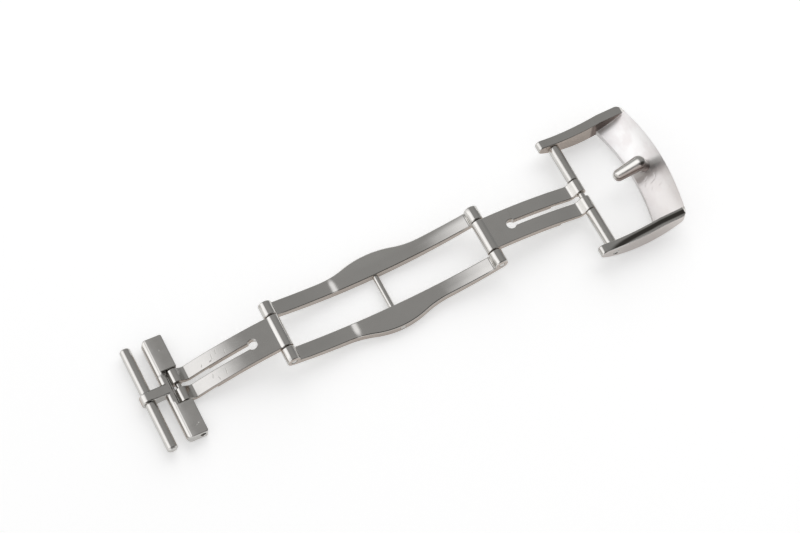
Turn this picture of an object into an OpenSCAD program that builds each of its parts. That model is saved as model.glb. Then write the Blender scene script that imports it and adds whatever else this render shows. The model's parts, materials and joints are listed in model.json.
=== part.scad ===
// Folding clasp for a strap: two rails, two hinged blades, a strap block and a tang buckle.
// It lies open on its outer side, so the wrist side is up and the strap runs along X.
// The origin is on the table, in the middle of the whole clasp.

/* [Strap] */
// Width of the strap that fits between the arms of the buckle
strap_w = 18; // [15:0.5:24]

/* [Frame rails] */
// Distance between the two hinge axes
hinge_pitch = 33.8; // [31:0.1:40]
// Radius of the underside of the rails
rail_r = 62; // [45:1:90]
// Width of a rail beside the hinges
rail_w = 2.35; // [1.6:0.05:3]
// How far the middle of a rail bulges outwards
rail_bulge = 1.25; // [0.5:0.05:1.8]
// Length of the bulge
bulge_len = 16.6; // [12:0.2:22]
// Thickness of a rail at the hinges
rail_t_end = 1; // [0.8:0.05:1.2]
// Thickness of a rail in the middle
rail_t_mid = 1.5; // [1.3:0.05:2]
// Outer diameter of the eyes and of the barrels in them
eye_d = 2.15; // [1.9:0.05:2.4]
// Diameter of the hinge pins
hinge_pin_d = 0.9; // [0.7:0.05:1]
// Diameter of the pin that ties the rails together
cross_pin_d = 0.95; // [0.7:0.05:1.1]

/* [Blades] */
// Distance from the hinge axis to the axis at the tip
blade_len = 16.35; // [15:0.05:17]
// Width of a blade
blade_w = 5.35; // [4.6:0.05:7]
// Radius of the outer face of a blade
blade_r = 55; // [45:1:80]
// How far this face lies under the top of the barrel
blade_drop = 0.22; // [0.1:0.02:0.3]
// Thickness of a blade
blade_t = 1.1; // [0.9:0.05:1.2]
// Thickness of the two fingers at the tip
finger_t = 0.75; // [0.6:0.05:0.85]
// Length of the thin part of the fingers, measured to the tip axis
finger_len = 4.8; // [4:0.1:6]
// Width of the slot that splits the blade
slot_w = 0.9; // [0.6:0.05:1.2]
// Diameter of the round hole that ends the slot
keyhole_d = 1.5; // [1.2:0.05:2]
// Distance from the hinge axis to the round hole
keyhole_x = 4.2; // [3.5:0.1:6]
// Outer diameter of the knuckles at the tip
knuckle_d = 1.8; // [1.7:0.05:2]
// Slope of the step that lifts the fingers to their knuckles, in degrees
step_angle = 50; // [40:1:60]
// Length of the straight part of that step
step_len = 0.8; // [0.5:0.05:1]
// Radius of the hollow bend at the foot of the step
step_r = 0.7; // [0.5:0.05:1]

/* [Strap block] */
// Size of the block along the strap
block_w = 3.3; // [3:0.1:4]
// Thickness of the block
block_t = 1.85; // [1.7:0.05:2.2]
// Radius of the rounded edge that faces the strap
block_edge_r = 0.8; // [0.4:0.05:0.85]
// Radius of its front corners, seen from above
block_corner_r = 0.3; // [0.1:0.05:0.5]
// Gap between the end of the block and the edge of the strap
block_inset = 0.6; // [0.5:0.1:1.5]
// Distance from the front of the block to its pin
block_pin_x = 0.85; // [0.75:0.05:1]
// Diameter of the pin in the block
block_pin_d = 0.8; // [0.6:0.05:0.9]
// How deep the ends of the pin lie in their hole
block_pin_sink = 0.5; // [0.1:0.05:0.6]
// Depth of the recess for the knuckles, from the front of the block
recess_x = 2.35; // [2.2:0.05:2.6]
// Width of the arm that carries the strap bar
arm_w = 1.45; // [1.2:0.05:2]
// Distance from the pin to the strap bar
bar_reach = 4.8; // [4.4:0.1:6]
// Outer radius of the eye round the strap bar
bar_eye_r = 1.25; // [1.15:0.05:1.4]
// Diameter of the strap bar
bar_d = 1.7; // [1.6:0.05:1.8]
// Diameter of its neck, which the eye grips
bar_neck_d = 1.35; // [1.2:0.05:1.4]
// Gap between the end of the strap bar and the edge of the strap
bar_inset = 0.35; // [0.3:0.05:1]
// Chamfer on the ends of the strap bar
bar_chamfer = 0.22; // [0.1:0.02:0.4]

/* [Buckle] */
// Radius of the bowed outer face of the buckle
bow_r = 11.5; // [11:0.1:13]
// Distance along the strap from the axle to the middle of the bow
bow_x = 4.7; // [4.4:0.1:5.2]
// Height of the axle over the lowest point of the buckle
axle_z = 2.2; // [2:0.05:2.4]
// Thickness of each arm
side_t = 1.45; // [1.2:0.05:1.8]
// Height of an arm at its lowest point
side_h = 3.2; // [3:0.05:3.6]
// Radius of the hollow edge of an arm
side_r = 20; // [17:0.5:24]
// Distance along the strap from the axle to the lowest point of that edge
side_x = 3.3; // [3:0.1:4]
// Radius of the round ends of the arms
ear_r = 0.85; // [0.8:0.01:1]
// Thickness of the plate
plate_t = 1; // [0.8:0.05:1.2]
// Distance from the axle to the inner edge of the plate, in the middle
plate_in = 8.6; // [8.2:0.1:9]
// Radius of the inner edge of the plate, seen from above
plate_in_r = 37; // [30:1:60]
// Distance from the axle to the outer edge of the plate, in the middle
plate_out = 12.95; // [12.5:0.05:13.2]
// Radius of the outer edge of the plate, seen from above
plate_out_r = 50; // [40:1:80]
// Radius of the outer corners of the plate, seen from above
corner_r = 1; // [0.5:0.1:2]
// Radius of the rounded upper corner where an arm ends on the plate
end_r = 1.1; // [0.8:0.1:1.5]

/* [Axle] */
// Diameter of the axle
axle_d = 1.8; // [1.5:0.05:1.8]
// Diameter of the neck that the knuckles turn on
neck_d = 1; // [0.8:0.05:1.1]
// Diameter of the ends of the axle in the arms
axle_end_d = 1; // [0.8:0.05:1.2]
// How deep these ends lie in the arms
axle_sink = 0.1; // [0.05:0.05:0.4]

/* [Tang] */
// Distance along the strap from the axle to the foot of the tang
tang_x = 10.6; // [10:0.1:11]
// Length of the stem, from the plate to the middle of the bend
stem_len = 2.1; // [1.8:0.05:2.3]
// Radius of the stem
stem_r = 0.95; // [0.8:0.05:1]
// Length of the finger, from the bend to the middle of its round tip
tang_len = 3.4; // [3:0.1:4]
// How steeply the finger points down, in degrees
tang_dip = 16; // [10:1:20]
// Radius of the finger at the bend
tang_root_r = 1.15; // [1.05:0.05:1.25]
// Radius of the finger at its tip
tang_tip_r = 0.93; // [0.75:0.02:1]
// Radius of the peg that holds the tang in the plate
peg_r = 0.6; // [0.5:0.05:0.7]

/* [Fits] */
// Gap all round a pin that turns in its bore
run_gap = 0.04; // [0.03:0.01:0.08]
// Gap beside a knuckle, between it and its neighbour
side_gap = 0.12; // [0.08:0.01:0.2]

/* [Hidden] */

// Wide arcs, and everything that is small and round
WIDE = 360;
$fn = 64;
// Where curves run into each other, one stands this much proud, so that their outlines cross
SKIN = 0.005;
// Longer than any piece, for cuts that pass right through
FAR = 60;

eye_r = eye_d / 2;
knuckle_r = knuckle_d / 2;
rail_gap = blade_w + 2 * side_gap;
rail_out = rail_gap / 2 + rail_w;
frame_out = rail_out + rail_bulge;

function unit(v) = v / norm(v);
function heading(v) = atan2(v.y, v.x);
function arc(c, r, from, to, steps) =
    [for (i = [0:steps]) let (a = from + (to - from) * i / steps) c + r * [cos(a), sin(a)]];
// The corner between two directions from c, turning left, for cutting a ring of radius r
function fan(c, r, from, to) =
    [c, c + 2 * r * [cos(from), sin(from)], c + 2 * r * [cos(to), sin(to)]];
// The point a from p and b from q, on the left of the way from p to q
function meet(p, a, q, b) =
    let (d = norm(q - p), e = (a * a - b * b + d * d) / (2 * d), u = unit(q - p))
    p + e * u + sqrt(a * a - e * e) * [-u.y, u.x];
// Where the tangent from p touches the circle round c, on the left of the way from p to c
function touch(p, c, r) =
    let (d = norm(c - p), u = unit(c - p))
    c - r * (r / d * u - sqrt(1 - r * r / (d * d)) * [-u.y, u.x]);

// Frame: the eyes touch the arc of the underside from within
hinge_x = hinge_pitch / 2;
hinge_z = rail_r - sqrt(pow(rail_r - eye_r + SKIN, 2) - hinge_x * hinge_x);
rail_rise = rail_r - sqrt(rail_r * rail_r - hinge_x * hinge_x) + rail_t_end - rail_t_mid;
rail_top_r = (hinge_x * hinge_x + rail_rise * rail_rise) / (2 * rail_rise);

// Blade, seen from the side with its hinge at the origin and its tip axis on the X axis
tip = [blade_len, 0];
step_dir = [cos(step_angle), sin(step_angle)];
step_up = [-sin(step_angle), cos(step_angle)];
step_c = tip - step_len * step_dir + (knuckle_r + step_r) * step_up;
blade_c = meet(step_c, blade_r + step_r - SKIN, [0, 0], blade_r - eye_r + blade_drop);
blade_foot = heading(step_c - blade_c);
finger_x = blade_len - finger_len;
finger_top = [finger_x, blade_c.y + sqrt(blade_r * blade_r - pow(finger_x - blade_c.x, 2))];

// Strap block: it rests on the eye of the strap bar and on its own lower front edge
block_len = strap_w - 2 * block_inset;
block_back = block_pin_x - block_w;
recess_w = blade_w + 2 * side_gap;
bar_len = strap_w - 2 * bar_inset;
bar_c = [-bar_reach, block_t / 2 - bar_eye_r + SKIN];
lean_x = block_pin_x + bar_reach;
lean_z = block_t / 2 + bar_c.y;
block_tilt = asin(bar_eye_r / norm([lean_x, lean_z])) - atan2(lean_z, lean_x);
pin_z = block_pin_x * sin(block_tilt) + block_t / 2 * cos(block_tilt);

// Buckle, seen from the side with its axle at the origin
bow_c = [bow_x, bow_r - axle_z];
side_c = [side_x, side_h - axle_z + side_r];
ear_c = meet(bow_c, bow_r - ear_r, side_c, side_r + ear_r);
side_y = strap_w / 2 + side_t;
corner_x = plate_out - plate_out_r
    + sqrt(pow(plate_out_r - corner_r, 2) - pow(side_y - corner_r, 2));
end_x = corner_x + corner_r - end_r;
end_c = [end_x, side_c.y - sqrt(pow(side_r + end_r, 2) - pow(end_x - side_x, 2))];

// Tang: its stem stands square on the plate
plate_r = bow_r - plate_t;
foot = [tang_x, bow_c.y - sqrt(plate_r * plate_r - pow(tang_x - bow_x, 2))];
stem_dir = unit(bow_c - foot);
bend_c = foot + stem_len * stem_dir;

// Where the pieces lie when the clasp is open on the table
dip_strap = asin((hinge_z - pin_z) / blade_len);
dip_buckle = asin((hinge_z - axle_z) / blade_len);
pin_x = -hinge_x - blade_len * cos(dip_strap);
axle_x = hinge_x + blade_len * cos(dip_buckle);
bar_x = pin_x + bar_c.x * cos(block_tilt) + bar_c.y * sin(block_tilt);
mid_x = (bar_x - bar_eye_r + axle_x + plate_out) / 2;

// A flat shape drawn in X and Z becomes a slab across the strap, from y0 to y1
module across(y0, y1) {
    translate([0, y1, 0]) rotate([90, 0, 0]) linear_extrude(y1 - y0) children();
}

// A bore or a plain round piece across the strap, at [x, z]
module rod(at, d, l) {
    translate([at.x, 0, at.y]) rotate([90, 0, 0]) cylinder(d = d, h = l, center = true);
}

// A round bar across the strap with a chamfer on each end
module chamfered_rod(at, d, l, c) {
    translate([at.x, 0, at.y]) rotate([90, 0, 0]) rotate_extrude()
        polygon([[0, -l / 2], [d / 2 - c, -l / 2], [d / 2, c - l / 2],
                 [d / 2, l / 2 - c], [d / 2 - c, l / 2], [0, l / 2]]);
}

// Places on the table
module in_frame() { translate([-mid_x, 0, 0]) children(); }
module at_strap_blade() {
    in_frame() translate([-hinge_x, 0, hinge_z]) mirror([1, 0, 0]) rotate([0, dip_strap, 0])
        children();
}
module at_buckle_blade() {
    in_frame() translate([hinge_x, 0, hinge_z]) rotate([0, dip_buckle, 0]) children();
}
module at_block() {
    in_frame() translate([pin_x, 0, pin_z]) rotate([0, block_tilt, 0]) children();
}
module at_buckle() { in_frame() translate([axle_x, 0, axle_z]) children(); }

// A rail from the side: a bowed strip between two eyes
module rail_side() {
    low_c = [0, rail_r];
    turn = heading([hinge_x, hinge_z] - low_c);
    difference() {
        union() {
            difference() {
                intersection() {
                    translate(low_c) circle(rail_r, $fn = WIDE);
                    polygon(fan(low_c, rail_r, -180 - turn, turn));
                }
                translate([0, rail_t_mid + rail_top_r]) circle(rail_top_r, $fn = WIDE);
            }
            for (s = [-1, 1]) translate([s * hinge_x, hinge_z]) circle(eye_r);
        }
        for (s = [-1, 1]) translate([s * hinge_x, hinge_z]) circle(d = hinge_pin_d);
    }
}

// The far rail from above: straight inside, with a soft bulge outside
module rail_plan() {
    half = bulge_len / 2;
    bulge_r = (half * half + rail_bulge * rail_bulge) / (4 * rail_bulge);
    turn = asin(half / (2 * bulge_r));
    steps = 12;
    crown = turn * (steps - 1) / steps;
    low = rail_gap / 2;
    polygon(concat([[FAR / 2, low], [FAR / 2, rail_out]],
                   arc([half, rail_out + bulge_r], bulge_r, -90, -90 - turn, steps),
                   arc([0, frame_out - bulge_r], bulge_r, 90 - crown, 90 + crown, 2 * steps - 2),
                   arc([-half, rail_out + bulge_r], bulge_r, -90 + turn, -90, steps),
                   [[-FAR / 2, rail_out], [-FAR / 2, low]]));
}

module far_rail() {
    difference() {
        intersection() {
            across(0, FAR) rail_side();
            translate([0, 0, -1]) linear_extrude(FAR) rail_plan();
        }
        rod([0, rail_t_mid / 2], cross_pin_d, FAR);
    }
}

module rail_far() { color("silver") in_frame() far_rail(); }

module rail_near() { color("silver") in_frame() mirror([0, 1, 0]) far_rail(); }

module cross_pin() {
    color("gainsboro") in_frame()
        chamfered_rod([0, rail_t_mid / 2], cross_pin_d, 2 * frame_out, 0.1);
}

module hinge_pin(s) {
    color("gainsboro") in_frame()
        chamfered_rod([s * hinge_x, hinge_z], hinge_pin_d, 2 * rail_out, 0.1);
}

module hinge_pin_strap() { hinge_pin(-1); }

module hinge_pin_buckle() { hinge_pin(1); }

// The bow of a blade from the side, from the barrel to the foot of its step
module blade_bow() {
    root = heading(-blade_c);
    thin = heading(finger_top - blade_c);
    end = blade_foot - 180 / PI * sqrt(2 * SKIN * (step_r + finger_t / 2)) / blade_r;
    difference() {
        intersection() {
            translate(blade_c) circle(blade_r, $fn = WIDE);
            polygon(fan(blade_c, blade_r, end, root));
        }
        translate(blade_c) circle(blade_r - blade_t, $fn = WIDE);
        intersection() {
            translate(blade_c) circle(blade_r - finger_t, $fn = WIDE);
            polygon(fan(blade_c, blade_r, end - 5, thin));
        }
    }
}

// The step of a blade from the side: a hollow curve and a ramp up to the knuckle
module blade_step() {
    hollow = blade_foot - 180;
    ramp = step_angle - 90;
    polygon(concat(arc(step_c, step_r + finger_t, hollow - 10, ramp, 14),
                   [tip + (knuckle_r - finger_t) * step_up, tip + (knuckle_r - SKIN) * step_up],
                   arc(step_c, step_r, ramp, hollow, 12)));
}

// A blade from the side: barrel, bow, step and knuckle
module blade_side(bore) {
    difference() {
        union() {
            circle(eye_r);
            blade_bow();
            blade_step();
            translate(tip) circle(knuckle_r);
        }
        circle(d = hinge_pin_d + 2 * run_gap);
        translate(tip) circle(d = bore);
    }
}

module blade(bore) {
    difference() {
        across(-blade_w / 2, blade_w / 2) blade_side(bore);
        translate([keyhole_x, 0, -FAR / 2]) cylinder(d = keyhole_d, h = FAR);
        translate([keyhole_x, -slot_w / 2, -FAR / 2]) cube([FAR, slot_w, FAR]);
    }
}

module blade_strap() { color("silver") at_strap_blade() blade(block_pin_d + 2 * run_gap); }

module blade_buckle() { color("silver") at_buckle_blade() blade(neck_d + 2 * run_gap); }

// The block from the side, with its back edge rounded
module block_side() {
    x0 = block_back + block_edge_r;
    z0 = block_t / 2 - block_edge_r;
    translate([x0, -block_t / 2]) square([block_pin_x - x0, block_t]);
    translate([block_back, -z0]) square([block_w, 2 * z0]);
    for (s = [-1, 1]) translate([x0, s * z0]) circle(block_edge_r);
}

// The block from above, with all its corners rounded
module block_plan() {
    x0 = block_back + block_edge_r;
    y0 = block_len / 2 - block_edge_r;
    x1 = block_pin_x - block_corner_r;
    y1 = block_len / 2 - block_corner_r;
    translate([x0, -block_len / 2]) square([x1 - x0, block_len]);
    translate([block_back, -y0]) square([block_w, 2 * y0]);
    translate([x0, -y1]) square([block_pin_x - x0, 2 * y1]);
    for (s = [-1, 1]) {
        translate([x0, s * y0]) circle(block_edge_r);
        translate([x1, s * y1]) circle(block_corner_r);
    }
}

// The arm from the side: level on top, and drawn in to the eye underneath
module arm_side() {
    root = [block_pin_x - recess_x, -block_t / 2];
    low = touch(root, bar_c, bar_eye_r - SKIN);
    translate(bar_c) circle(bar_eye_r);
    polygon([root, [root.x, block_t / 2], [bar_c.x, block_t / 2], bar_c, low]);
}

// The recess from the side: open above and in front, with a hollow floor behind the knuckles
module recess_side() {
    translate([block_pin_x - recess_x, 0]) square([FAR, FAR]);
    translate([-2 / 3 * knuckle_r, -FAR]) square([FAR, FAR + knuckle_r / 2]);
    circle(knuckle_r + side_gap);
}

module strap_block() {
    color("silver") at_block() difference() {
        union() {
            intersection() {
                across(-block_len / 2, block_len / 2) block_side();
                translate([0, 0, -FAR / 2]) linear_extrude(FAR) block_plan();
            }
            across(-arm_w / 2, arm_w / 2) arm_side();
        }
        across(-recess_w / 2, recess_w / 2) recess_side();
        rod([0, 0], block_pin_d, FAR);
        rod(bar_c, bar_neck_d, FAR);
    }
}

module block_pin() {
    color("gainsboro") at_block()
        chamfered_rod([0, 0], block_pin_d, block_len - 2 * block_pin_sink, 0.08);
}

// The strap bar: full on both sides of the arm, with a neck that the eye grips
module strap_bar() {
    half = bar_len / 2;
    neck = arm_w / 2 + 0.02;
    color("gainsboro") at_block() translate([bar_c.x, 0, bar_c.y]) rotate([90, 0, 0]) rotate_extrude()
        polygon([[0, -half], [bar_d / 2 - bar_chamfer, -half], [bar_d / 2, bar_chamfer - half],
                 [bar_d / 2, -neck], [bar_neck_d / 2, -neck], [bar_neck_d / 2, neck],
                 [bar_d / 2, neck], [bar_d / 2, half - bar_chamfer],
                 [bar_d / 2 - bar_chamfer, half], [0, half]]);
}

// The buckle from above: a soft curve on the right, with rounded corners
module buckle_plan() {
    corner_y = side_y - corner_r;
    // Where the soft curve passes into the rounded corner
    meet_y = corner_y * plate_out_r / (plate_out_r - corner_r);
    translate([-FAR, -side_y]) square([FAR + corner_x, 2 * side_y]);
    intersection() {
        translate([plate_out - plate_out_r, 0]) circle(plate_out_r, $fn = WIDE);
        translate([0, -meet_y]) square([FAR, 2 * meet_y]);
    }
    for (s = [-1, 1]) translate([corner_x, s * corner_y]) circle(corner_r + SKIN);
}

// An arm of the buckle from the side: a bow with round ends
module buckle_side() {
    top = side_c + side_r * unit(ear_c - side_c);
    low = bow_c + bow_r * unit(ear_c - bow_c);
    difference() {
        intersection() {
            difference() {
                translate(bow_c) circle(bow_r, $fn = WIDE);
                translate(side_c) circle(side_r, $fn = WIDE);
            }
            polygon([low, top, top + [FAR, 0], top + [FAR, -FAR], low - [0, FAR]]);
        }
        difference() {
            translate(end_c) rotate(heading(side_c - end_c) - 90) square([3 * end_r, 2 * end_r]);
            translate(end_c) circle(end_r + SKIN);
        }
    }
    translate(ear_c) circle(ear_r + SKIN);
}

module buckle() {
    color("silver") at_buckle() difference() {
        intersection() {
            union() {
                for (s = [0, 1]) mirror([0, s, 0]) across(strap_w / 2, side_y) buckle_side();
                difference() {
                    across(-side_y, side_y) intersection() {
                        translate(bow_c) difference() {
                            circle(bow_r, $fn = WIDE);
                            circle(plate_r, $fn = WIDE);
                        }
                        translate([0, -FAR]) square([FAR, FAR + bow_c.y]);
                    }
                    translate([plate_in - plate_in_r, 0, -FAR / 2])
                        cylinder(r = plate_in_r, h = FAR, $fn = WIDE);
                }
            }
            translate([0, 0, -FAR / 2]) linear_extrude(FAR) buckle_plan();
        }
        rod([0, 0], axle_end_d, FAR);
        peg(0);
    }
}

// The axle: full between the arms, with a neck for the knuckles and thin ends
module buckle_axle() {
    half = side_y - axle_sink;
    half_neck = blade_w / 2 + side_gap;
    color("gainsboro") at_buckle() rotate([90, 0, 0]) rotate_extrude()
        polygon([[0, -half], [axle_end_d / 2, -half], [axle_end_d / 2, -strap_w / 2],
                 [axle_d / 2, -strap_w / 2], [axle_d / 2, -half_neck],
                 [neck_d / 2, -half_neck], [neck_d / 2, half_neck],
                 [axle_d / 2, half_neck], [axle_d / 2, strap_w / 2],
                 [axle_end_d / 2, strap_w / 2], [axle_end_d / 2, half], [0, half]]);
}

// The peg of the tang, which ends inside the plate
module peg(above) {
    translate([foot.x, 0, foot.y]) rotate([0, 90 - heading(stem_dir), 0])
        translate([0, 0, -0.7 * plate_t]) cylinder(r = peg_r, h = 0.7 * plate_t + above);
}

// The finger along Z: a cone that is rounded at the bend and at the tip, with a tiny flat on both
module finger() {
    taper = asin((tang_root_r - tang_tip_r) / tang_len);
    root = arc([0, 0], tang_root_r, -84, taper, 16);
    end = arc([0, tang_len], tang_tip_r, taper, 84, 14);
    rotate_extrude() polygon(concat([[0, root[0].y]], root, end, [[0, end[14].y]]));
}

module tang() {
    color("silver") at_buckle() {
        peg(0.1);
        difference() {
            translate([foot.x, 0, foot.y]) rotate([0, 90 - heading(stem_dir), 0])
                translate([0, 0, -1]) cylinder(r = stem_r, h = stem_len + 1);
            difference() {
                rod(bow_c, 4 * bow_r, FAR);
                translate([bow_c.x, 0, bow_c.y]) rotate([90, 0, 0])
                    cylinder(r = plate_r, h = FAR + 1, center = true, $fn = WIDE);
            }
        }
        translate([bend_c.x, 0, bend_c.y]) rotate([0, -90 - tang_dip, 0]) finger();
    }
}

rail_near();
rail_far();
cross_pin();
hinge_pin_strap();
hinge_pin_buckle();
blade_strap();
blade_buckle();
strap_block();
block_pin();
strap_bar();
buckle();
buckle_axle();
tang();
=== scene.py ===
import json
import math

import bpy
from mathutils import Matrix, Vector

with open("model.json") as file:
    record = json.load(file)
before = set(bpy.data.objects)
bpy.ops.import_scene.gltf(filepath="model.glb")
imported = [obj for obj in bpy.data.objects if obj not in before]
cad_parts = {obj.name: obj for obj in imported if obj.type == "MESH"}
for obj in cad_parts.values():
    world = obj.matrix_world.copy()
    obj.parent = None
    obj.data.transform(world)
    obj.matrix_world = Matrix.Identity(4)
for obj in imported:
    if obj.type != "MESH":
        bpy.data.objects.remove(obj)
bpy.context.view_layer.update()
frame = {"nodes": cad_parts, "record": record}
MM = 0.001

# The camera at the photograph's viewing angle; its focal length is in pixels of an image this wide
IMAGE_WIDTH = 800
FOCAL_PIXELS = 2235.6
SENSOR = 36.0
ELEVATION = math.radians(64.84)
AZIMUTH = math.radians(-26.50)
ROLL = math.radians(-0.509)
DISTANCE = 331.5 * MM
TARGET = Vector((0.671, 2.949, 0)) * MM
# Nothing nearer or farther than this is drawn, in metres
NEAREST = 0.01
FARTHEST = 10


def make_camera():
    back = Vector((math.sin(AZIMUTH) * math.cos(ELEVATION),
                   -math.cos(AZIMUTH) * math.cos(ELEVATION),
                   math.sin(ELEVATION)))
    right = Vector((math.cos(AZIMUTH), math.sin(AZIMUTH), 0))
    up = back.cross(right)
    rolled_right = right * math.cos(ROLL) + up * math.sin(ROLL)
    rolled_up = up * math.cos(ROLL) - right * math.sin(ROLL)
    data = bpy.data.cameras.new("camera")
    data.sensor_width = SENSOR
    data.lens = FOCAL_PIXELS / IMAGE_WIDTH * SENSOR
    data.clip_start = NEAREST
    data.clip_end = FARTHEST
    camera = bpy.data.objects.new("camera", data)
    turn = Matrix((rolled_right, rolled_up, back)).transposed().to_4x4()
    camera.matrix_world = Matrix.Translation(TARGET + back * DISTANCE) @ turn
    bpy.context.scene.collection.objects.link(camera)
    bpy.context.scene.camera = camera


class Tree:
    """A node tree that is written from left to right."""

    def __init__(self, tree):
        self.tree = tree
        tree.nodes.clear()

    def add(self, kind, inputs=None, **settings):
        node = self.tree.nodes.new(kind)
        for name, value in settings.items():
            setattr(node, name, value)
        for name, value in (inputs or {}).items():
            self.put(node.inputs[name], value)
        return node

    def put(self, socket, value):
        if isinstance(value, bpy.types.NodeSocket):
            self.tree.links.new(value, socket)
        else:
            socket.default_value = value

    def math(self, operation, a, b=0.0):
        return self.add("ShaderNodeMath", {0: a, 1: b}, operation=operation).outputs[0]

    def plus(self, total, *others):
        for other in others:
            total = self.math("ADD", total, other)
        return total

    def minus(self, a, b):
        return self.math("SUBTRACT", a, b)

    def times(self, product, *others):
        for other in others:
            product = self.math("MULTIPLY", product, other)
        return product

    def size(self, value):
        return self.math("ABSOLUTE", value)

    def length(self, a, b):
        """How long the step is that goes a one way and b square to it."""
        return self.math("SQRT", self.plus(self.times(a, a), self.times(b, b)))

    def span(self, value, low, high, out_low=0.0, out_high=1.0):
        """value from low to high becomes out_low to out_high, with soft ends."""
        return self.add("ShaderNodeMapRange",
                        {"Value": value, "From Min": low, "From Max": high,
                         "To Min": out_low, "To Max": out_high},
                        interpolation_type="SMOOTHSTEP").outputs["Result"]

    def mix(self, factor, a, b):
        node = self.add("ShaderNodeMix", data_type="RGBA")
        self.put(node.inputs["Factor"], factor)
        self.put(node.inputs[6], a)
        self.put(node.inputs[7], b)
        return node.outputs[2]

    def vector(self, operation, a, b=(0, 0, 0), output="Vector"):
        return self.add("ShaderNodeVectorMath", {0: a, 1: b}, operation=operation).outputs[output]

    def axes(self, vector):
        """The x, y and z of a vector."""
        return self.add("ShaderNodeSeparateXYZ", {"Vector": vector}).outputs

    def noise(self, place, waves, detail=3.0, roughness=0.6):
        """Noise with so many waves per millimetre along x, y and z."""
        scale = tuple(count / MM for count in waves)
        return self.add("ShaderNodeTexNoise",
                        {"Vector": self.vector("MULTIPLY", place, scale), "Scale": 1.0,
                         "Detail": detail, "Roughness": roughness}).outputs[0]


# The world as metal shows it: a grey ceiling, a wide bright side on the left, a dark front
CEILING = (0.34, 0.338, 0.334, 1)
BRIGHT = (1.24, 1.24, 1.26, 1)
BRIGHTEST = (1.44, 1.44, 1.45, 1)
LOW_LEFT = (0.75, 0.74, 0.72, 1)
RIGHT = (0.27, 0.27, 0.27, 1)
BACK = (0.36, 0.36, 0.355, 1)
FRONT = (0.05, 0.047, 0.043, 1)
# The axis along which each side takes over from the ceiling, and where that begins and ends
SIDES = [("x", -0.24, -0.46, BRIGHT),
         ("x", -0.52, -0.66, BRIGHTEST),
         ("x", -0.84, -0.97, LOW_LEFT),
         ("x", 0.45, 1.0, RIGHT),
         ("y", 0.5, 0.8, BACK)]
# The front darkens between these values of y, and only above these of z
FRONT_Y = (-0.05, -0.4)
FRONT_Z = (0.3, 0.5)
# The same light level on every side for matt surfaces
PLAIN = (0.50, 0.50, 0.50, 1)


def make_world():
    world = bpy.data.worlds.new("studio")
    bpy.context.scene.world = world
    world.use_nodes = True
    t = Tree(world.node_tree)
    way = dict(zip("xyz", t.axes(t.add("ShaderNodeTexCoord").outputs["Generated"])))
    colour = CEILING
    for axis, start, end, side in SIDES:
        colour = t.mix(t.span(way[axis], start, end), colour, side)
    front = t.times(t.span(way["y"], *FRONT_Y), t.span(way["z"], *FRONT_Z))
    colour = t.mix(front, colour, FRONT)
    matt = t.add("ShaderNodeLightPath").outputs["Is Diffuse Ray"]
    background = t.add("ShaderNodeBackground", {"Color": t.mix(matt, colour, PLAIN)})
    out = t.add("ShaderNodeOutputWorld")
    t.put(out.inputs["Surface"], background.outputs[0])


FLOOR_SIZE = 3.0
PAPER = (0.9, 0.9, 0.9, 1)
PAPER_ROUGHNESS = 0.9
# How much whiter the paper looks than its light makes it, to the camera and in metal
PAPER_LIFT = 0.36
PAPER_LIFT_IN_METAL = 0.25


def make_floor():
    mesh = bpy.data.meshes.new("floor")
    h = FLOOR_SIZE / 2
    mesh.from_pydata([(-h, -h, 0), (h, -h, 0), (h, h, 0), (-h, h, 0)], [], [(0, 1, 2, 3)])
    floor = bpy.data.objects.new("floor", mesh)
    bpy.context.scene.collection.objects.link(floor)
    material = bpy.data.materials.new("paper")
    material.use_nodes = True
    t = Tree(material.node_tree)
    path = t.add("ShaderNodeLightPath").outputs
    metal = t.math("MAXIMUM", path["Is Glossy Ray"], path["Is Transmission Ray"])
    lift = t.plus(t.times(path["Is Camera Ray"], PAPER_LIFT), t.times(metal, PAPER_LIFT_IN_METAL))
    paper = t.add("ShaderNodeBsdfPrincipled",
                  {"Base Color": PAPER, "Roughness": PAPER_ROUGHNESS, "Specular IOR Level": 0.0,
                   "Emission Color": (1, 1, 1, 1), "Emission Strength": lift})
    out = t.add("ShaderNodeOutputMaterial")
    t.put(out.inputs["Surface"], paper.outputs[0])
    mesh.materials.append(material)


# A wide lamp behind the clasp, on the right, which metal doesn't show
LAMP_PLACE = (0.45, 0.5, 0.45)
LAMP_SIZE = 1.1
LAMP_WATTS = 3.4


def make_lamp():
    data = bpy.data.lights.new("lamp_back", "AREA")
    data.shape = "DISK"
    data.size = LAMP_SIZE
    data.energy = LAMP_WATTS
    lamp = bpy.data.objects.new("lamp_back", data)
    lamp.location = LAMP_PLACE
    lamp.rotation_mode = "QUATERNION"
    lamp.rotation_quaternion = (-Vector(LAMP_PLACE)).to_track_quat("-Z", "Y")
    lamp.visible_glossy = False
    bpy.context.scene.collection.objects.link(lamp)


def middle(node):
    """The middle of a CAD node's box, in millimetres, like all places and lengths from here on."""
    corners = frame["nodes"][node].bound_box
    return sum((Vector(corner) for corner in corners), Vector()) / len(corners) / MM


# The colours of the polished steel, its cut edges with painted warm shade, the painted shade on the inner
# walls near the plate, and the painted warm reflection on the outer walls
STEEL = (0.655, 0.64, 0.615)
CUT_AND_SHADE = (0.50, 0.425, 0.37, 1)
DEEP_SHADE = (0.22, 0.17, 0.15, 1)
WARM_REFLECTION = (0.64, 0.59, 0.56, 1)
CUT_ROUGHNESS = 0.15
# Soft clouds change the tone and the roughness by these shares
CLOUD_WAVES = (0.5, 0.5, 0.5)
CLOUD_TONE = 0.05
CLOUD_ROUGHNESS = 0.15
# The contrast of a noise, as the values that count as low and high
CONTRAST = (0.3, 0.7)
BRUSH_ROUGHNESS = 0.02
LEAST_ROUGHNESS = 0.04
# A face is a wall when its normal leans this far across the strap
WALL = (0.75, 0.95)
# A mask fades over this length
FADE = 0.1


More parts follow.
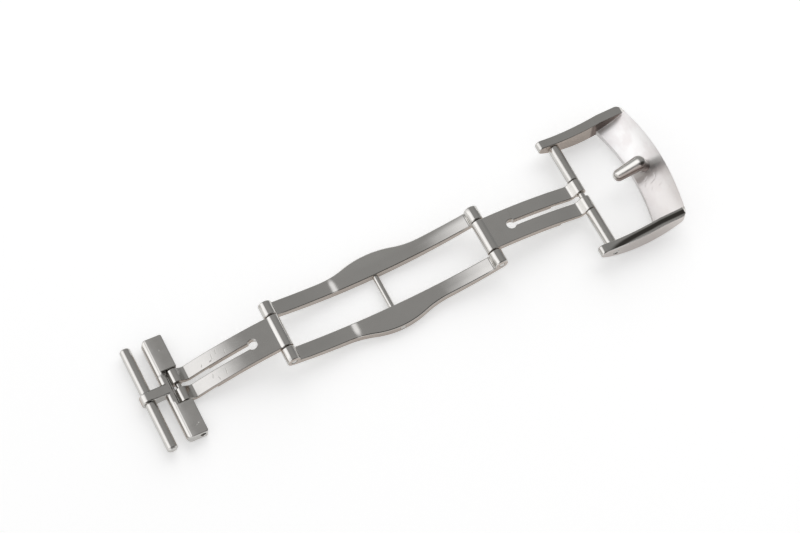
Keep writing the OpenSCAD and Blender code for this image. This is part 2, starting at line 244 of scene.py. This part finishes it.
class Steel(Tree):
    """Steel with soft clouds; cut_and_shade is how far its walls take on a warm, dark colour, which is
    painted shade, and the roughness of cut edges.
    """

    def __init__(self, name, roughness, tone=1.0, cut_and_shade=0.0, cut_and_shade_within=None):
        self.material = bpy.data.materials.new(name)
        self.material.use_nodes = True
        super().__init__(self.material.node_tree)
        coordinates = self.add("ShaderNodeTexCoord").outputs
        self.place = coordinates["Object"]
        self.x, self.y = self.axes(self.vector("MULTIPLY", self.place, (1 / MM,) * 3))[:2]
        self.nx, self.ny = self.axes(coordinates["Normal"])[:2]
        self.width = self.size(self.y)
        self.wall = self.span(self.size(self.ny), *WALL)
        self.height = 0.0
        self.metallic = 1.0
        cloud = self.noise(self.place, CLOUD_WAVES, detail=4.0)
        darker, lighter = (tuple(share * tone * c for c in STEEL) + (1,)
                           for share in (1 - CLOUD_TONE, 1 + CLOUD_TONE))
        self.colour = self.mix(cloud, darker, lighter)
        self.roughness = self.span(cloud, *CONTRAST, roughness * (1 - CLOUD_ROUGHNESS),
                                   roughness * (1 + CLOUD_ROUGHNESS))
        # Walls across the strap are painted darker and warmer, as painted shade; they are also made rougher,
        # as cut edges
        if cut_and_shade:
            edge = self.times(self.wall, cut_and_shade)
            if cut_and_shade_within:
                edge = self.times(edge, self.below(self.width, cut_and_shade_within))
            self.colour = self.mix(edge, self.colour, CUT_AND_SHADE)
            self.roughness = self.plus(self.roughness, self.times(edge, CUT_ROUGHNESS))

    def above(self, value, limit, fade=FADE):
        """1 where value is over the limit, fading in behind it."""
        return self.span(value, limit, limit + fade)

    def below(self, value, limit, fade=FADE):
        """1 where value is under the limit, fading in behind it."""
        return self.span(value, limit, limit - fade)

    def raise_by(self, value):
        """Adds to the height of the surface."""
        self.height = self.plus(self.height, value)

    def brush(self, waves, height):
        """Fine lines, which also change the roughness a little."""
        lines = self.noise(self.place, waves)
        self.raise_by(self.times(lines, height))
        self.roughness = self.plus(self.roughness,
                                   self.span(lines, *CONTRAST, -BRUSH_ROUGHNESS, BRUSH_ROUGHNESS))

    def dents(self, waves, height):
        """Wide, shallow hollows that bend the reflections."""
        self.raise_by(self.times(self.noise(self.place, waves, detail=1.0), height))

    def marks(self, rows, width, depth):
        """Short scratches in the upper face, each with its x, y, angle and length."""
        for x, y, angle, length in rows:
            turn = math.radians(angle)
            dx = self.minus(self.x, x)
            dy = self.minus(self.y, y)
            along = self.plus(self.times(dx, math.cos(turn)), self.times(dy, math.sin(turn)))
            off = self.minus(self.times(dy, math.cos(turn)), self.times(dx, math.sin(turn)))
            inside = self.times(self.span(self.size(along), length / 2, length / 4),
                                self.span(self.size(off), width / 2, 0.0))
            self.raise_by(self.times(inside, -depth))

    def done(self):
        bump = self.add("ShaderNodeBump", {"Height": self.height, "Strength": 1.0,
                                           "Distance": MM})
        shader = self.add("ShaderNodeBsdfPrincipled",
                          {"Base Color": self.colour, "Metallic": self.metallic,
                           "Roughness": self.math("MAXIMUM", self.roughness, LEAST_ROUGHNESS),
                           "Normal": bump.outputs[0]})
        out = self.add("ShaderNodeOutputMaterial")
        self.put(out.inputs["Surface"], shader.outputs[0])
        return self.material


# The middle of the frame, where the cross pin is
FRAME_X = middle("cross_pin").x
# Outside this distance from there the rails rise more steeply, up to the eyes
RAIL_BEND = 6.0
RAIL_BEND_SOFT = 1.0
RAIL_EYE = 15.6
RAIL_RISE = 0.16
# On the strap side a rail's thick middle ends in a soft shoulder
SHOULDER_AT = 6.5
SHOULDER_DROP = 0.56
SHOULDER_WIDTH = 1.0
SHOULDER_ROUGHNESS = 0.1
# The stretch around the shoulder that is rougher, in shoulder widths
SHOULDER_REACH = (2.5, 0.5)
# The shoulder grows between these distances from the middle of the strap, inwards
SHOULDER_Y = (7.8, 4.0)


def rail_steel():
    m = Steel("rails", roughness=0.09, cut_and_shade=0.8)
    from_middle = m.math("MINIMUM", m.size(m.minus(m.x, FRAME_X)), RAIL_EYE)
    past = m.minus(from_middle, RAIL_BEND)
    rise = m.plus(m.length(past, RAIL_BEND_SOFT), past)
    m.raise_by(m.times(rise, RAIL_RISE / 2))
    off = m.math("DIVIDE", m.minus(FRAME_X - SHOULDER_AT, m.x), SHOULDER_WIDTH)
    m.roughness = m.plus(m.roughness, m.span(m.size(off), *SHOULDER_REACH, 0.0, SHOULDER_ROUGHNESS))
    m.raise_by(m.times(m.math("TANH", off), m.span(m.width, *SHOULDER_Y), -SHOULDER_DROP))
    m.brush(waves=(0.4, 5, 5), height=0.0002)
    m.dents(waves=(0.25, 0.4, 0.25), height=0.015)
    return m.done()


# Scratches on the blade of the strap side, as x, y, angle and length, like all the marks here
BLADE_MARKS = [(-30.6, 1.5, 80, 0.9), (-29.8, 1.9, 72, 0.7), (-31.6, -1.2, 65, 0.8), (-30.9, -2.0, 100, 0.7),
               (-29.6, -1.6, 80, 1.0), (-32.4, 1.1, 60, 0.5), (-28.6, 1.2, 75, 0.6), (-31.0, 1.0, 20, 0.5)]


def blade_steel():
    m = Steel("blades", roughness=0.13, cut_and_shade=0.9)
    m.brush(waves=(0.4, 6, 6), height=0.0002)
    m.dents(waves=(0.3, 0.5, 0.3), height=0.012)
    m.marks(BLADE_MARKS, width=0.12, depth=0.02)
    return m.done()


# The end of the block that faces the bar is painted with the same warm, dark colour, as painted shade
BLOCK_END = (-0.7, -0.95)
BLOCK_END_SHADE = 0.7
# The top of the block leans towards the bar, most at its back edge, but not at the arm in the middle
BLOCK_BACK = -38.3
BLOCK_FRONT = -36.0
BLOCK_LEAN = 0.26
BLOCK_CROWN = 0.06
BLOCK_ARM_SIDE = (2.0, 2.6)
BLOCK_MARKS = [(-36.9, -6.9, 20, 0.3), (-36.5, -6.7, 70, 0.25), (-37.0, 6.0, 40, 0.3)]


def block_steel():
    m = Steel("block", roughness=0.17)
    # Painted shade on the end that faces the bar
    m.colour = m.mix(m.span(m.nx, *BLOCK_END, 0.0, BLOCK_END_SHADE), m.colour, CUT_AND_SHADE)
    depth = BLOCK_FRONT - BLOCK_BACK
    from_back = m.math("MAXIMUM", m.minus(m.x, BLOCK_BACK), 0.0)
    from_front = m.math("MINIMUM", m.minus(m.x, BLOCK_FRONT), 0.0)
    cube = m.math("POWER", m.times(from_front, -1 / depth), 3.0)
    lean = m.plus(m.times(from_back, BLOCK_LEAN), m.times(cube, -BLOCK_CROWN * depth / 3))
    m.raise_by(m.times(lean, m.span(m.width, *BLOCK_ARM_SIDE)))
    m.brush(waves=(0.5, 4, 4), height=0.0002)
    m.marks(BLOCK_MARKS, width=0.2, depth=0.02)
    return m.done()


def turned_steel():
    m = Steel("bar", roughness=0.22)
    m.brush(waves=(0.8, 8, 0.8), height=0.0004)
    return m.done()


def pin_steel():
    m = Steel("pins", roughness=0.2)
    m.brush(waves=(4, 4, 4), height=0.0003)
    return m.done()


# The side of the tang that faces the viewer is darkened with painted shade, and its top leans along the
# strap
TANG_SIDE = (-0.2, -0.8)
TANG_SIDE_SHARE = 0.85
TANG_LEAN = 0.3


def tang_steel():
    # The tang's colour is a tenth lighter than the steel, as painted light
    m = Steel("tang", roughness=0.26, tone=1.1)
    # Painted shade on the side that faces the viewer
    m.colour = m.mix(m.span(m.ny, *TANG_SIDE, 0.0, TANG_SIDE_SHARE), m.colour, DEEP_SHADE)
    m.raise_by(m.times(m.x, TANG_LEAN))
    m.brush(waves=(3, 3, 3), height=0.0002)
    return m.done()


# The arms of the buckle begin at this distance from the middle of the strap
ARM_INSIDE = 9.0
# Walls up to here are inner walls, which get painted shade near the plate, and those beyond are outer ones
ARM_INSIDE_TO = 9.3
ARM_OUTSIDE_FROM = 10.2
DEEP_FROM = 36.0
DEEP_FADE = 0.5
# The near arm is crowned outwards, across this width and more and more between these places
ARM_CROWN = 0.46
ARM_CROWN_WIDTH = 1.4
ARM_CROWN_X = (25.5, 35.0)
# The plate's inner face and the rim at its outer end are milky: rougher, swirled and less like metal, and
# lighter, which is painted light
PLATE_FROM = 32.5
PLATE_FACE = (-0.1, -0.3)
RIM_FROM = 41.4
MILKY_AND_LIT = (0.79, 0.76, 0.755, 1)
MILKIEST_AND_LIT = (0.87, 0.86, 0.855, 1)
SWIRL_WAVES = (0.6, 0.35, 0.6)
SWIRL_CONTRAST = (0.35, 0.65)
PLATE_ROUGHNESS = 0.3
PLATE_METALLIC = 0.82
# The plate darkens towards the viewer
SHADED = (0.62, 0.58, 0.56, 1)
SHADED_Y = (3.0, -6.0)
SHADED_SHARE = 0.6
# From here on the upper side leans along the strap
PLATE_LEAN_FROM = 36.0
PLATE_LEAN = 0.09
# Beside the tang the plate is rubbed and scratched
RUB_X = 39.0
RUB_Y = -3.2
RUB_REACH = (4.0, 0.5)
RUB_HEIGHT = 0.05
RUB_MARKS = [(39.6, -1.9, 35, 1.1), (39.1, -2.6, 60, 0.9), (40.1, -2.8, 20, 1.2), (40.8, -2.2, 75, 0.9),
             (39.6, -3.7, 50, 1.1), (40.8, -3.9, 10, 0.8), (39.3, 1.9, 40, 0.9), (40.4, 1.3, 70, 0.9)]


def buckle_steel():
    m = Steel("buckle", roughness=0.12, tone=0.93, cut_and_shade=0.9, cut_and_shade_within=ARM_INSIDE_TO)
    plate = m.times(m.below(m.width, ARM_INSIDE, FADE / 2), m.above(m.x, PLATE_FROM))
    face = m.math("MAXIMUM", m.span(m.nx, *PLATE_FACE), m.above(m.x, RIM_FROM, FADE / 2))
    plate = m.times(plate, face)
    swirl = m.noise(m.place, SWIRL_WAVES, roughness=0.5)
    # The lighter colour of the plate's face is painted light; its swirls are its finish
    milky_and_lit = m.mix(m.span(swirl, *SWIRL_CONTRAST), MILKY_AND_LIT, MILKIEST_AND_LIT)
    milky_and_lit = m.mix(m.span(m.y, *SHADED_Y, 0.0, SHADED_SHARE), milky_and_lit, SHADED)
    m.colour = m.mix(plate, m.colour, milky_and_lit)
    m.roughness = m.add("ShaderNodeMix",
                        {"Factor": plate, "A": m.roughness, "B": PLATE_ROUGHNESS}).outputs[0]
    m.metallic = m.span(plate, 0.0, 1.0, 1.0, PLATE_METALLIC)
    # Painted shade on the inner walls near the plate
    inner_shade = m.times(m.wall, m.above(m.x, DEEP_FROM, DEEP_FADE), m.below(m.width, ARM_INSIDE_TO))
    m.colour = m.mix(inner_shade, m.colour, DEEP_SHADE)
    # The outer walls get a warm painted reflection
    outer = m.times(m.wall, m.above(m.width, ARM_OUTSIDE_FROM))
    m.colour = m.mix(outer, m.colour, WARM_REFLECTION)
    m.marks(RUB_MARKS, width=0.22, depth=0.014)
    rub = m.span(m.length(m.minus(m.x, RUB_X), m.minus(m.y, RUB_Y)), *RUB_REACH)
    m.raise_by(m.times(swirl, rub, RUB_HEIGHT))
    m.raise_by(m.times(m.math("MAXIMUM", m.minus(m.x, PLATE_LEAN_FROM), 0.0), PLATE_LEAN))
    out = m.math("MINIMUM", m.math("MAXIMUM", m.minus(-ARM_INSIDE, m.y), 0.0), ARM_CROWN_WIDTH)
    m.raise_by(m.times(out, out, -ARM_CROWN, m.span(m.x, *ARM_CROWN_X)))
    m.brush(waves=(0.4, 5, 5), height=0.0002)
    return m.done()


# Sharper folds than this are rounded, and flatter ones than FLAT are taken out first
FOLD = math.radians(28)
FLAT = math.radians(0.3)
EDGE_SEGMENTS = 3
# Points of the mesh nearer than WELD are one, in metres
WELD = 1e-7
# A point nearer to the CAD surface than this still lies on it
ON_SURFACE = 0.006 * MM


def modifier_tree(name):
    group = bpy.data.node_groups.new(name, "GeometryNodeTree")
    group.interface.new_socket("Geometry", in_out="INPUT", socket_type="NodeSocketGeometry")
    group.interface.new_socket("Geometry", in_out="OUTPUT", socket_type="NodeSocketGeometry")
    return Tree(group)


def value_input(node):
    return next(s for s in node.inputs if s.name == "Value" and s.enabled)


def store(t, geometry, name, value, data_type, domain):
    node = t.add("GeometryNodeStoreNamedAttribute", {"Geometry": geometry, "Name": name},
                 data_type=data_type, domain=domain)
    t.put(value_input(node), value)
    return node.outputs[0]


def cad_normal(t):
    """The normal of the CAD surface that an earlier step stored."""
    return t.add("GeometryNodeInputNamedAttribute", {"Name": "cad_normal"},
                 data_type="FLOAT_VECTOR").outputs[0]


def prepare(name, share, rule):
    """Welds the mesh, says how wide each sharp edge is rounded, and sends the CAD surface along."""
    t = modifier_tree(name)
    source = t.add("NodeGroupInput").outputs[0]
    normal = t.add("GeometryNodeInputNormal").outputs["Normal"]
    marked = store(t, source, "cad_normal", normal, "FLOAT_VECTOR", "CORNER")
    welded = t.add("GeometryNodeMergeByDistance", {"Geometry": marked, "Distance": WELD})
    angle = t.add("GeometryNodeInputMeshEdgeAngle").outputs["Unsigned Angle"]
    fold = t.math("GREATER_THAN", angle, FOLD)
    split = t.add("GeometryNodeSplitEdges", {"Mesh": welded.outputs[0], "Selection": fold})
    surface = store(t, split.outputs[0], "cad_normal", cad_normal(t), "FLOAT_VECTOR", "POINT")
    if rule:
        share = rule(t, t.axes(t.add("GeometryNodeInputPosition").outputs[0]), share)
    edges = store(t, welded.outputs[0], "bevel_weight_edge", t.times(fold, share), "FLOAT", "EDGE")
    both = t.add("GeometryNodeJoinGeometry")
    t.put(both.inputs[0], t.add("GeometryNodeGeometryToInstance", {"Geometry": surface}).outputs[0])
    t.put(both.inputs[0], edges)
    t.put(t.add("NodeGroupOutput").inputs[0], both.outputs[0])
    return t.tree


def nearest(t, surface, value):
    node = t.add("GeometryNodeSampleNearestSurface", {"Mesh": surface}, data_type="FLOAT_VECTOR")
    t.put(value_input(node), value)
    return node.outputs["Value"]


def restore():
    """Gives the surfaces their CAD normals again; a rounded edge runs smoothly between them."""
    t = modifier_tree("cad normals")
    parts = t.add("GeometryNodeSeparateComponents",
                  {"Geometry": t.add("NodeGroupInput").outputs[0]})
    surface = t.add("GeometryNodeRealizeInstances",
                    {"Geometry": parts.outputs["Instances"]}).outputs[0]
    place = t.add("GeometryNodeInputPosition").outputs[0]
    off = t.vector("DISTANCE", nearest(t, surface, place), place, output="Value")
    normal = t.vector("NORMALIZE", nearest(t, surface, cad_normal(t)))
    pick = t.add("GeometryNodeSwitch",
                 {"Switch": t.math("LESS_THAN", off, ON_SURFACE),
                  "False": t.add("GeometryNodeInputNormal").outputs["True Normal"],
                  "True": normal}, input_type="VECTOR")
    smooth = t.add("GeometryNodeSetShadeSmooth", {"Geometry": parts.outputs["Mesh"]})
    done = t.add("GeometryNodeSetMeshNormal", {"Mesh": smooth.outputs[0]},
                 mode="FREE", domain="POINT")
    t.put(done.inputs["Custom Normal"], pick.outputs[0])
    t.put(t.add("NodeGroupOutput").inputs[0], done.outputs[0])
    return t.tree


CAD_NORMALS = restore()


def soften(node, width, widest=None, rule=None):
    """Rounds the sharp edges of a CAD node by width, or as far as rule says, up to widest."""
    piece = frame["nodes"][node]
    widest = widest or width
    piece.modifiers.new("keep normals", "NODES").node_group = prepare(
        node + " edges", width / widest, rule)
    flat = piece.modifiers.new("flat", "DECIMATE")
    flat.decimate_type = "DISSOLVE"
    flat.angle_limit = FLAT
    bevel = piece.modifiers.new("edges", "BEVEL")
    bevel.width = widest * MM
    bevel.segments = EDGE_SEGMENTS
    bevel.limit_method = "WEIGHT"
    bevel.use_clamp_overlap = False
    piece.modifiers.new("normals", "NODES").node_group = CAD_NORMALS


# The pins whose bores open in the rails, and the one in the arms of the buckle
RAIL_PINS = ["cross_pin", "hinge_pin_strap", "hinge_pin_buckle"]
ARM_PIN = "buckle_axle"
# An edge this near to a pin's axis is the mouth of its bore, which stays sharper on the rails
MOUTH_REACH = 0.6
MOUTH_SHARE = 0.2
# Edges farther out than this are on the arms, which are rounded more and more between these places
ARM_EDGES_FROM = 8.9
ARM_EDGES_X = (37.0, 28.5)


def mouth_of(t, place, pin):
    """1 at the mouths of the bore that this pin fills."""
    axis = middle(pin)
    reach = t.length(t.minus(place[0], axis.x * MM), t.minus(place[2], axis.z * MM))
    return t.math("LESS_THAN", reach, MOUTH_REACH * MM)


def on_rails(t, place, share):
    """The share of the widest rounding that each edge of a rail gets."""
    mouth = 0.0
    for pin in RAIL_PINS:
        mouth = t.math("MAXIMUM", mouth, mouth_of(t, place, pin))
    return t.minus(share, t.times(mouth, share * (1 - MOUTH_SHARE)))


def on_buckle(t, place, share):
    """The share of the widest rounding that each edge of the buckle gets."""
    arm = t.math("GREATER_THAN", t.size(place[1]), ARM_EDGES_FROM * MM)
    arm = t.times(arm, t.minus(1.0, mouth_of(t, place, ARM_PIN)))
    start, end = ARM_EDGES_X
    wide = t.span(place[0], start * MM, end * MM, share, 1.0)
    return t.plus(t.times(arm, wide), t.times(t.minus(1.0, arm), share))


# How wide the sharp edges are rounded
RAIL_EDGE = 0.2
BLADE_EDGE = 0.12
PLATE_EDGE = 0.06
ARM_EDGE = 0.2
BLOCK_EDGE = 0.15
SMALL_EDGE = 0.07

make_camera()
make_world()
make_floor()
make_lamp()

STEELS = {"rails": rail_steel(), "pins": pin_steel(), "blades": blade_steel(), "block": block_steel(),
          "bar": turned_steel(), "buckle": buckle_steel(), "tang": tang_steel()}
for part in frame["record"]["subparts"]:
    for slot in frame["nodes"][part["node"]].material_slots:
        slot.material = STEELS[part["material_slot"]]

for name in frame["nodes"]:
    if name.startswith("rail"):
        soften(name, RAIL_EDGE, rule=on_rails)
    elif name.startswith("blade"):
        soften(name, BLADE_EDGE)
    elif name == "buckle":
        soften(name, PLATE_EDGE, widest=ARM_EDGE, rule=on_buckle)
    elif name == "strap_block":
        soften(name, BLOCK_EDGE)
    else:
        soften(name, SMALL_EDGE)

scene = bpy.context.scene
scene.view_settings.view_transform = "Standard"
